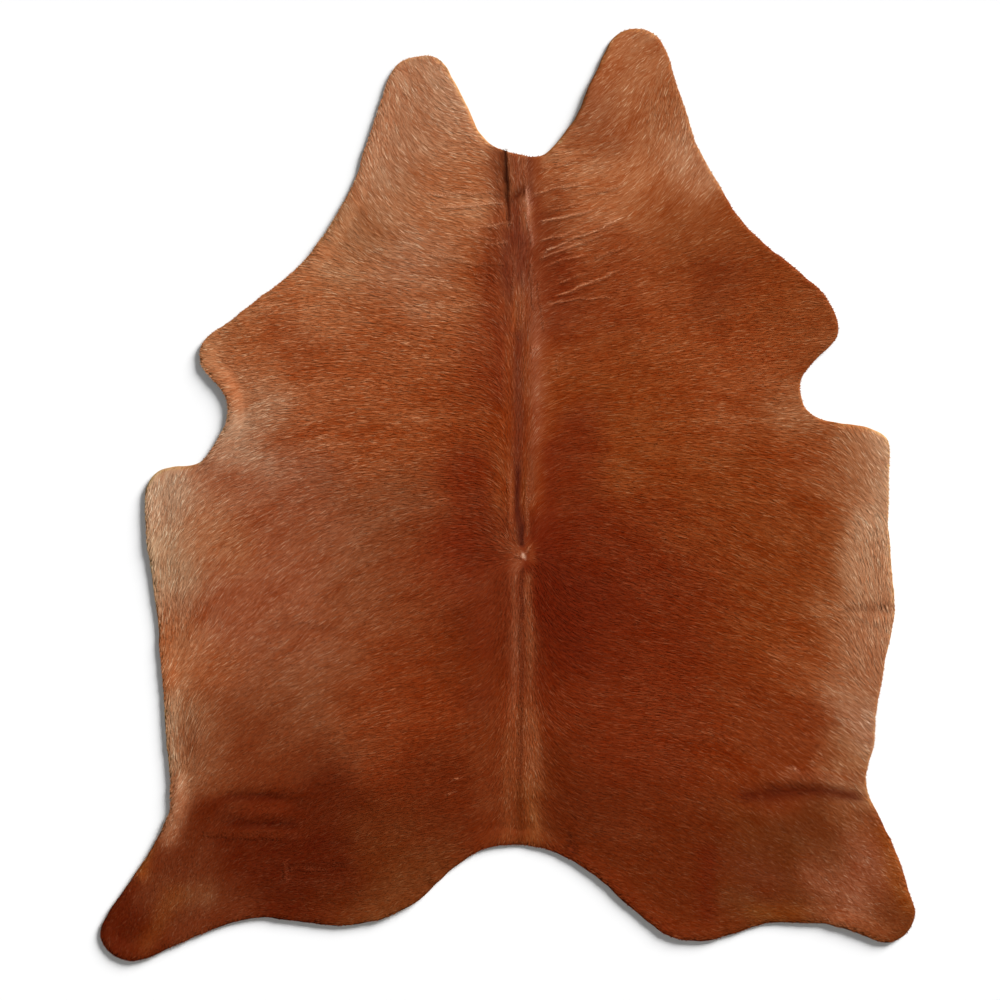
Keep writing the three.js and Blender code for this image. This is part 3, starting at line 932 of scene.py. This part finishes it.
def hair_lie(x, y):
    """Unit directions in which the hair lies, its length in metres and how unruly it is."""
    column, row = picture_places(x, y)
    beside = column - spine_column(row)
    side = np.where(beside < 0, -1.0, 1.0)
    offset = np.abs(beside)
    total = np.zeros_like(x)
    length = np.zeros_like(x)
    weight = np.zeros_like(x)
    for name, at, down, reach, angle, long in LIE:
        same = side < 0 if name.startswith("left") else side > 0
        w = same * (np.exp(-((column - at) ** 2 + (row - down) ** 2) / (2 * reach**2)) + 1e-9)
        weight += w
        total += w * angle
        length += w * long
    far = total / weight
    front = np.interp(offset, *FRONT_LIE)
    rear = np.interp(offset, *REAR_LIE)
    near = front + (rear - front) * smooth(WHORL[1] - WHORL_ROWS, WHORL[1] + WHORL_ROWS, row)
    angle = near + (far - near) * smooth(*PARTING_COLUMNS, offset)
    angle += LIE_SWAY * drift(x, y, 21, 0.05, 0.16)
    heading = np.radians(angle)
    lie = np.column_stack([side * np.cos(heading), np.sin(heading)])
    parting = SHORT_AT_PARTING + (1 - SHORT_AT_PARTING) * smooth(5, 40, offset)
    from_whorl = np.hypot(column - WHORL[0], row - WHORL[1])
    whorl = SHORT_AT_WHORL + (1 - SHORT_AT_WHORL) * smooth(3, 14, from_whorl)
    length = 0.001 * length / weight * parting * whorl
    return lie, length, np.minimum((PLAIN_LENGTH / length) ** 2, 3.0)


def within_edge(length, lie, distance, normal):
    """Hair lengths cut down so that no lock hangs far over the trimmed edge."""
    outgoing = np.maximum((lie * normal).sum(axis=1), 0.08)
    room = (distance + OVERHANG) / outgoing / LENGTH_SPREAD[1]
    return np.minimum(length, np.maximum(room, SHORTEST))


lie, hair_length, ruffle = hair_lie(*upper.T)
hair_length = within_edge(hair_length, lie, distance_in, edge_normal)

# The sheet: hair side, suede side and the cut rim between them.
count_up = len(upper)
corners = np.vstack([np.column_stack([upper, upper_z]), np.column_stack([lower, lower_z])])
ring = np.arange(len(edge))
ahead_in_ring = np.roll(ring, -1)
rim = np.vstack(
    [
        np.column_stack([ring + count_up, ahead_in_ring + count_up, ahead_in_ring]),
        np.column_stack([ring + count_up, ahead_in_ring, ring]),
    ]
)
faces = np.vstack([upper_faces, lower_faces[:, ::-1] + count_up, rim])
skin_mesh = bpy.data.meshes.new("skin")
skin_mesh.from_pydata(corners.tolist(), [], faces.tolist())
skin = bpy.data.objects.new("skin", skin_mesh)
bpy.context.scene.collection.objects.link(skin)
skin_mesh.polygons.foreach_set("use_smooth", np.ones(len(faces), dtype=bool))
side_of_face = np.ones(len(faces), dtype=np.int32)
side_of_face[: len(upper_faces)] = 0
skin_mesh.polygons.foreach_set("material_index", side_of_face)


def store(mesh, name, kind, values):
    """Puts one value for each point on a mesh."""
    layer = mesh.attributes.new(name, kind, "POINT")
    field = {"FLOAT": "value", "FLOAT_VECTOR": "vector", "FLOAT_COLOR": "color"}[kind]
    layer.data.foreach_set(field, np.ascontiguousarray(values, dtype=np.float32).ravel())


CLOUD_CELLS = 500


def streaked(places, lie, cell, length, seed):
    """Clouds about 0 with a spread of 1, one cell wide and drawn out along the lie."""
    table = np.random.default_rng(seed).normal(size=(CLOUD_CELLS, CLOUD_CELLS))
    total = np.zeros(len(places))
    for share in np.linspace(-0.5, 0.5, 7):
        spot = (places + share * length * lie) / cell
        low = np.floor(spot).astype(int)
        part = smooth(0, 1, spot - low)
        for right, up in ((0, 0), (1, 0), (0, 1), (1, 1)):
            weight = np.abs(1 - right - part[:, 0]) * np.abs(1 - up - part[:, 1])
            corner = (low + (right, up)) % CLOUD_CELLS
            total += weight * table[corner[:, 0], corner[:, 1]]
    return total / total.std()


def clouding(places, lie):
    """How much paler or darker than its zone the coat is at places on the rug."""
    return sum(
        strength * streaked(places, lie, cell, length, 40 + number)
        for number, (cell, length, strength) in enumerate(CLUMPS)
    )


def coat_attribute(places, paler, distance):
    """The coat's colour as four linear values a point, paler hairs being greyer as well, partly as
    painted sheen.

    The hair of the neck and of the legs is more mixed in colour than that of the back.
    """
    colour = coat_colour(*places.T)
    light = colour[:, :1]
    row = picture_places(*places.T)[1].reshape(-1, 1)
    mixed_hair = 1 + NECK_EXTRA * (1 - smooth(*NECK_ROWS, row)) + LEG_EXTRA * smooth(*LEG_ROWS, row)
    depth = mixed_hair * np.clip((light - CALM_RED) / RED_RANGE, *VARIATION)
    colour = np.clip(colour + depth * np.reshape(paler, (-1, 1)) * PALER, 0, 255)
    rim = 1 - smooth(0, RIM_REACH, np.reshape(distance, (-1, 1)))
    colour *= 1 + rim * (RIM_TINT - 1)
    return np.column_stack([to_linear(colour) * COAT_GAIN, np.ones(len(places))])


colours = coat_attribute(upper, clouding(upper, lie), distance_in)
colours = np.vstack([colours, np.tile(colours[:1], (len(lower), 1))])
store(skin_mesh, "coat", "FLOAT_COLOR", colours)

short_hair, graph = finish_named("hair_roots")
place = graph.add("ShaderNodeTexCoord", output="Object")
coat = graph.stored("coat", "Color")
grain = graph.noise(place, 420.0, 4.0)
cloud = graph.noise(place, 45.0, 3.0)
shade = 0.66 + 0.4 * grain + 0.1 * cloud
colour = graph.scaled(coat, shade)
bump = graph.add("ShaderNodeBump", inputs={"Strength": 0.4, "Distance": 0.001, "Height": grain})
graph.surface(
    {
        "Base Color": colour,
        "Roughness": 0.55 + 0.25 * grain,
        "Normal": bump,
        "Specular IOR Level": 0.05,
    }
)

suede, graph = finish_named("suede")
place = graph.add("ShaderNodeTexCoord", output="Object")
nap = graph.noise(place, 900.0, 5.0)
patch = graph.noise(place, 9.0, 4.0)
mixed = graph.add(
    "ShaderNodeMix",
    {"data_type": "RGBA"},
    {0: 0.25 + 0.5 * patch, 6: (0.52, 0.40, 0.29, 1), 7: (0.40, 0.29, 0.20, 1)},
    output=2,
)
colour = graph.scaled(mixed, 0.75 + 0.5 * nap)
bump = graph.add("ShaderNodeBump", inputs={"Strength": 0.5, "Distance": 0.0006, "Height": nap})
graph.surface(
    {
        "Base Color": colour,
        "Roughness": 0.8 + 0.15 * nap,
        "Normal": bump,
        "Specular IOR Level": 0.2,
    }
)
skin_mesh.materials.append(short_hair)
skin_mesh.materials.append(suede)

# Coat. The hair that was left on the hide, chestnut brown, mostly 14 to 28 mm long and lying flat,
# in small pointed locks that grow out of the skin and overlap like shingles. It parts along the
# backbone and turns round at the whorl on the back.
LOCKS = 212000
LOCK_WIDTH = 0.0019
LOCK_DROP = 0.08
HAIR_ZONES = [
    # name, side, first row, last row
    ("coat_neck_left", -1, 0, 390),
    ("coat_neck_right", 1, 0, 390),
    ("coat_back_left", -1, 390, 660),
    ("coat_back_right", 1, 390, 660),
    ("coat_rear_left", -1, 660, 1000),
    ("coat_rear_right", 1, 660, 1000),
]

# One lock: a pointed leaf of four triangles, root at the origin, tip at +X, ridge on top.
lock_mesh = bpy.data.meshes.new("lock")
WIDEST = 0.38
LOCK_FACES = np.array([(0, 1, 2), (0, 3, 1), (0, 2, 3), (1, 3, 2)])
# Where a lock's corners lie in its cell of the pattern's map, its underside over its upper side.
LOCK_MAP = np.array([(0.05, 0.5), (0.95, 0.5), (WIDEST, 0.95), (WIDEST, 0.05)])
lock_corners = [(0, 0, 0), (1, 0, 0), (WIDEST, 0.5, -LOCK_DROP), (WIDEST, -0.5, -LOCK_DROP)]
lock_mesh.from_pydata(lock_corners, [], LOCK_FACES.tolist())
store(lock_mesh, "along", "FLOAT", [0, 1, WIDEST, WIDEST])
store(lock_mesh, "across", "FLOAT", [0, 0, 1, -1])
lock = bpy.data.objects.new("lock", lock_mesh)

hair, graph = finish_named("hair")
place = graph.add("ShaderNodeTexCoord", output="Object")
coat = graph.stored("coat", "Color")
tone = graph.stored("tone")
along = graph.stored("along")
across_lock = graph.stored("across")
cloud = graph.noise(place, 38.0, 3.0)
on_lock = graph.add(
    "ShaderNodeCombineXYZ", inputs={"X": 3.0 * across_lock, "Y": 1.5 * along, "Z": 90.0 * tone}
)
strand = graph.noise(on_lock, 2.0, 2.0)
shade = 0.80 + 0.12 * along + 0.06 * cloud + 0.16 * strand
colour = graph.scaled(coat, shade)
facing = graph.add("ShaderNodeNewGeometry", output="Normal")
evened = graph.add(
    "ShaderNodeVectorMath",
    {"operation": "MULTIPLY_ADD"},
    {0: facing, 1: (0.4, 0.4, 0.4), 2: (0.0, 0.0, 0.6)},
)
bump = graph.add(
    "ShaderNodeBump",
    inputs={"Strength": 0.3, "Distance": 0.0003, "Height": strand, "Normal": evened},
)
graph.surface(
    {
        "Base Color": colour,
        "Roughness": 0.42 + 0.2 * strand + 0.1 * cloud,
        "Normal": bump,
        "Specular IOR Level": 0.15,
        "Specular Tint": (1.0, 0.50, 0.28, 1),
    }
)

# The growing of the locks on a patch of skin, which carries the lie and the length of its hair.
growth = bpy.data.node_groups.new("growth", "GeometryNodeTree")
named = growth.interface.new_socket
named("Skin", in_out="INPUT", socket_type="NodeSocketGeometry")
GROWTH_INPUTS = {
    "Lock": ("NodeSocketObject", lock),
    "Finish": ("NodeSocketMaterial", hair),
    "Locks per square metre": ("NodeSocketFloat", None),
    "Lock width": ("NodeSocketFloat", LOCK_WIDTH),
    "Lift": ("NodeSocketFloat", math.radians(3.4)),
    "Lift spread": ("NodeSocketFloat", math.radians(1.6)),
    "Sway": ("NodeSocketFloat", math.radians(9.0)),
    "Roll": ("NodeSocketFloat", math.radians(6.0)),
    "Seed": ("NodeSocketInt", 3),
}
for label, (kind, _) in GROWTH_INPUTS.items():
    named(label, in_out="INPUT", socket_type=kind)
named("Hair", in_out="OUTPUT", socket_type="NodeSocketGeometry")
graph = Graph(growth)
given = graph.add("NodeGroupInput", output="Skin")
seed = given.of("Seed")
roots = graph.add(
    "GeometryNodeDistributePointsOnFaces",
    {"distribute_method": "RANDOM"},
    {"Mesh": given, "Density": given.of("Locks per square metre"), "Seed": seed},
    output="Points",
)


def on_patch(kind, name):
    """What the patch of skin carries under a name."""
    return graph.add("GeometryNodeInputNamedAttribute", {"data_type": kind}, {"Name": name})


lie_here = on_patch("FLOAT_VECTOR", "lie")
length_here = on_patch("FLOAT", "length")
ruffle_here = on_patch("FLOAT", "ruffle")


def dice(low, high, extra):
    """A random number for each lock."""
    return graph.add(
        "FunctionNodeRandomValue",
        {"data_type": "FLOAT"},
        {2: low, 3: high, "Seed": seed + float(extra)},
        output=1,
    )


turned = graph.add(
    "FunctionNodeAlignRotationToVector",
    {"axis": "X", "pivot_axis": "Z"},
    {"Rotation": roots.of("Rotation"), "Vector": lie_here},
)
lean = graph.add(
    "ShaderNodeCombineXYZ",
    inputs={
        "X": given.of("Roll") * dice(-1.0, 1.0, 1),
        "Y": 0.0 - (given.of("Lift") + given.of("Lift spread") * dice(-1.0, 1.0, 2)),
        "Z": given.of("Sway") * ruffle_here * dice(-1.0, 1.0, 3),
    },
)
leaning = graph.add("FunctionNodeEulerToRotation", inputs={0: lean})
turned = graph.add(
    "FunctionNodeRotateRotation",
    {"rotation_space": "LOCAL"},
    {"Rotation": turned, "Rotate By": leaning},
)
width = given.of("Lock width") * dice(0.7, 1.3, 4)
size = graph.add(
    "ShaderNodeCombineXYZ",
    inputs={"X": length_here * dice(*LENGTH_SPREAD, 5), "Y": width, "Z": width},
)
shape = graph.add("GeometryNodeObjectInfo", inputs={"Object": given.of("Lock")}, output="Geometry")
locks = graph.add(
    "GeometryNodeInstanceOnPoints",
    inputs={"Points": roots, "Instance": shape, "Rotation": turned, "Scale": size},
)
toned = graph.add(
    "GeometryNodeStoreNamedAttribute",
    {"data_type": "FLOAT", "domain": "INSTANCE"},
    {"Geometry": locks, "Name": "tone", "Value": dice(0.0, 1.0, 6)},
)
solid = graph.add("GeometryNodeRealizeInstances", inputs={"Geometry": toned})
coloured = graph.add(
    "GeometryNodeSetMaterial", inputs={"Geometry": solid, "Material": given.of("Finish")}
)
graph.add("NodeGroupOutput", inputs={"Hair": coloured})
socket_of = {item.name: item.identifier for item in growth.interface.items_tree}


# How much one lock is paler or darker than the next, and how much more the few grey ones are,
# whose greyish paleness is partly painted sheen.
HAIR_SPREAD = 30.0
GREY_HAIRS_AND_SHEEN = 26.0
GREY_AND_SHEEN_FROM = 0.88
GREY_AND_SHEEN_MEAN = (1 - GREY_AND_SHEEN_FROM) / 2


def grow_coat(name, patch_points, patch_faces, lie, length, ruffle, distance, changes):
    """One piece of the coat, grown on a patch of skin and coloured lock by lock."""
    patch = bpy.data.meshes.new(name)
    patch.from_pydata(patch_points.tolist(), [], patch_faces.tolist())
    store(patch, "lie", "FLOAT_VECTOR", np.column_stack([lie, np.zeros(len(lie))]))
    store(patch, "length", "FLOAT", length)
    store(patch, "ruffle", "FLOAT", ruffle)
    store(patch, "from edge", "FLOAT", distance)
    piece = bpy.data.objects.new(name, patch)
    bpy.context.scene.collection.objects.link(piece)
    grow = piece.modifiers.new("growth", "NODES")
    grow.node_group = growth
    for label, (_, value) in GROWTH_INPUTS.items():
        grow[socket_of[label]] = changes.get(label, value)
    grown = piece.evaluated_get(bpy.context.evaluated_depsgraph_get())
    mesh = bpy.data.meshes.new_from_object(grown)
    piece.modifiers.remove(grow)
    piece.data = mesh

    def read(source, field, width):
        values = np.empty(len(mesh.vertices) * width, dtype=np.float32)
        source.foreach_get(field, values)
        return values.reshape(-1, 4, width).astype(float)

    place = read(mesh.vertices, "co", 3)[:, :, :2]
    tone = read(mesh.attributes["tone"].data, "value", 1)[:, 0, 0]
    rim = read(mesh.attributes["from edge"].data, "value", 1)[:, 0, 0]
    run = place[:, 1] - place[:, 0]
    run_length = np.hypot(*run.T)[:, None]
    paler = HAIR_SPREAD * (tone - 0.5) + GREY_HAIRS_AND_SHEEN * (smooth(GREY_AND_SHEEN_FROM, 1, tone) - GREY_AND_SHEEN_MEAN)
    paler += clouding(place[:, 0], run / run_length)
    at_root = coat_attribute(place[:, 0], paler, rim)
    at_tip = coat_attribute(place[:, 1], paler, rim)
    between = at_root + WIDEST * (at_tip - at_root)
    colours = np.stack([at_root, at_tip, between, between], axis=1)
    store(mesh, "coat", "FLOAT_COLOR", colours.reshape(-1, 4))
    cells = math.ceil(math.sqrt(len(tone)))
    cell = np.column_stack([np.arange(len(tone)) % cells, np.arange(len(tone)) // cells])
    spots = (cell[:, None, :] + LOCK_MAP[None, LOCK_FACES.ravel(), :]) / cells
    mesh.uv_layers.new(name="OFBake").data.foreach_set("uv", spots.astype(np.float32).ravel())
    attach(piece, "root")
    return piece


whole_area = doubled_areas(upper, upper_faces).sum() / 2
middles = upper[upper_faces].mean(axis=1)
middle_column, middle_row = picture_places(*middles.T)
side_of_middle = np.where(middle_column < spine_column(middle_row), -1, 1)
for number, (name, side, first, last) in enumerate(HAIR_ZONES):
    chosen = (side_of_middle == side) & (middle_row >= first) & (middle_row < last)
    used, patch_faces = np.unique(upper_faces[chosen], return_inverse=True)
    changes = {"Locks per square metre": LOCKS / whole_area, "Seed": 3 + 10 * number}
    grow_coat(
            name,
            corners[used],
            patch_faces.reshape(-1, 3),
            lie[used],
            hair_length[used],
            ruffle[used],
            distance_in[used],
            changes,
        )

# Fold hair. Short fine hair along the narrow folds, the wrinkles and the marks, on top of the
# rest of the coat, in strips a little wider than the strokes, carrying among their colours the
# painted highlights and shade of the wrinkles and folds.
FOLD_HAIR_LENGTH = 0.0050
FOLD_HAIR_WIDTH = 0.0012
FOLD_HAIR_RISE = 0.0013
FOLD_HAIR_RUFFLE = 2.0
FOLD_HAIRS = 330000
STRIP_MARGIN = 0.8
STRIP_STEP = 4
strips = []
strip_faces = []
for _, x0, y0, x1, y1, spread, _, _ in STROKES:
    if spread <= NARROW:
        run = np.array([x1 - x0, y1 - y0], dtype=float)
        long = float(np.hypot(*run))
        run /= long
        aside = np.array([-run[1], run[0]]) * (spread + STRIP_MARGIN)
        stops = np.linspace(0, long, max(2, int(long / STRIP_STEP)))
        first = sum(map(len, strips))
        for stop in stops:
            middle = np.array([x0, y0]) + run * stop
            strips.append([middle - aside, middle + aside])
        for k in range(len(stops) - 1):
            start = first + 2 * k
            strip_faces.append((start, start + 1, start + 3, start + 2))
strip_places = np.array([place for pair in strips for place in pair])
strip_flat = np.column_stack([across(strip_places[:, 0]), ahead(strip_places[:, 1])])
strip_flat += np.column_stack(wobble(*strip_flat.T)) * (-STEP, STEP)
strip_faces = np.array(strip_faces)
strip_lie, strip_length, _ = hair_lie(*strip_flat.T)
strip_distance, strip_normal = to_edge(strip_flat)
strip_length = np.minimum(strip_length, FOLD_HAIR_LENGTH)
strip_length = within_edge(strip_length, strip_lie, strip_distance, strip_normal)
strip_z = LEATHER + broad_lift(*strip_flat.T) + fold_lift(*strip_flat.T) + FOLD_HAIR_RISE
grow_coat(
        "coat_folds",
        np.column_stack([strip_flat, strip_z]),
        strip_faces,
        strip_lie,
        strip_length,
        np.full(len(strip_lie), FOLD_HAIR_RUFFLE),
        strip_distance,
        {"Locks per square metre": FOLD_HAIRS, "Lock width": FOLD_HAIR_WIDTH, "Seed": 77},
    )

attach(skin, "root")
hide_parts("hide")
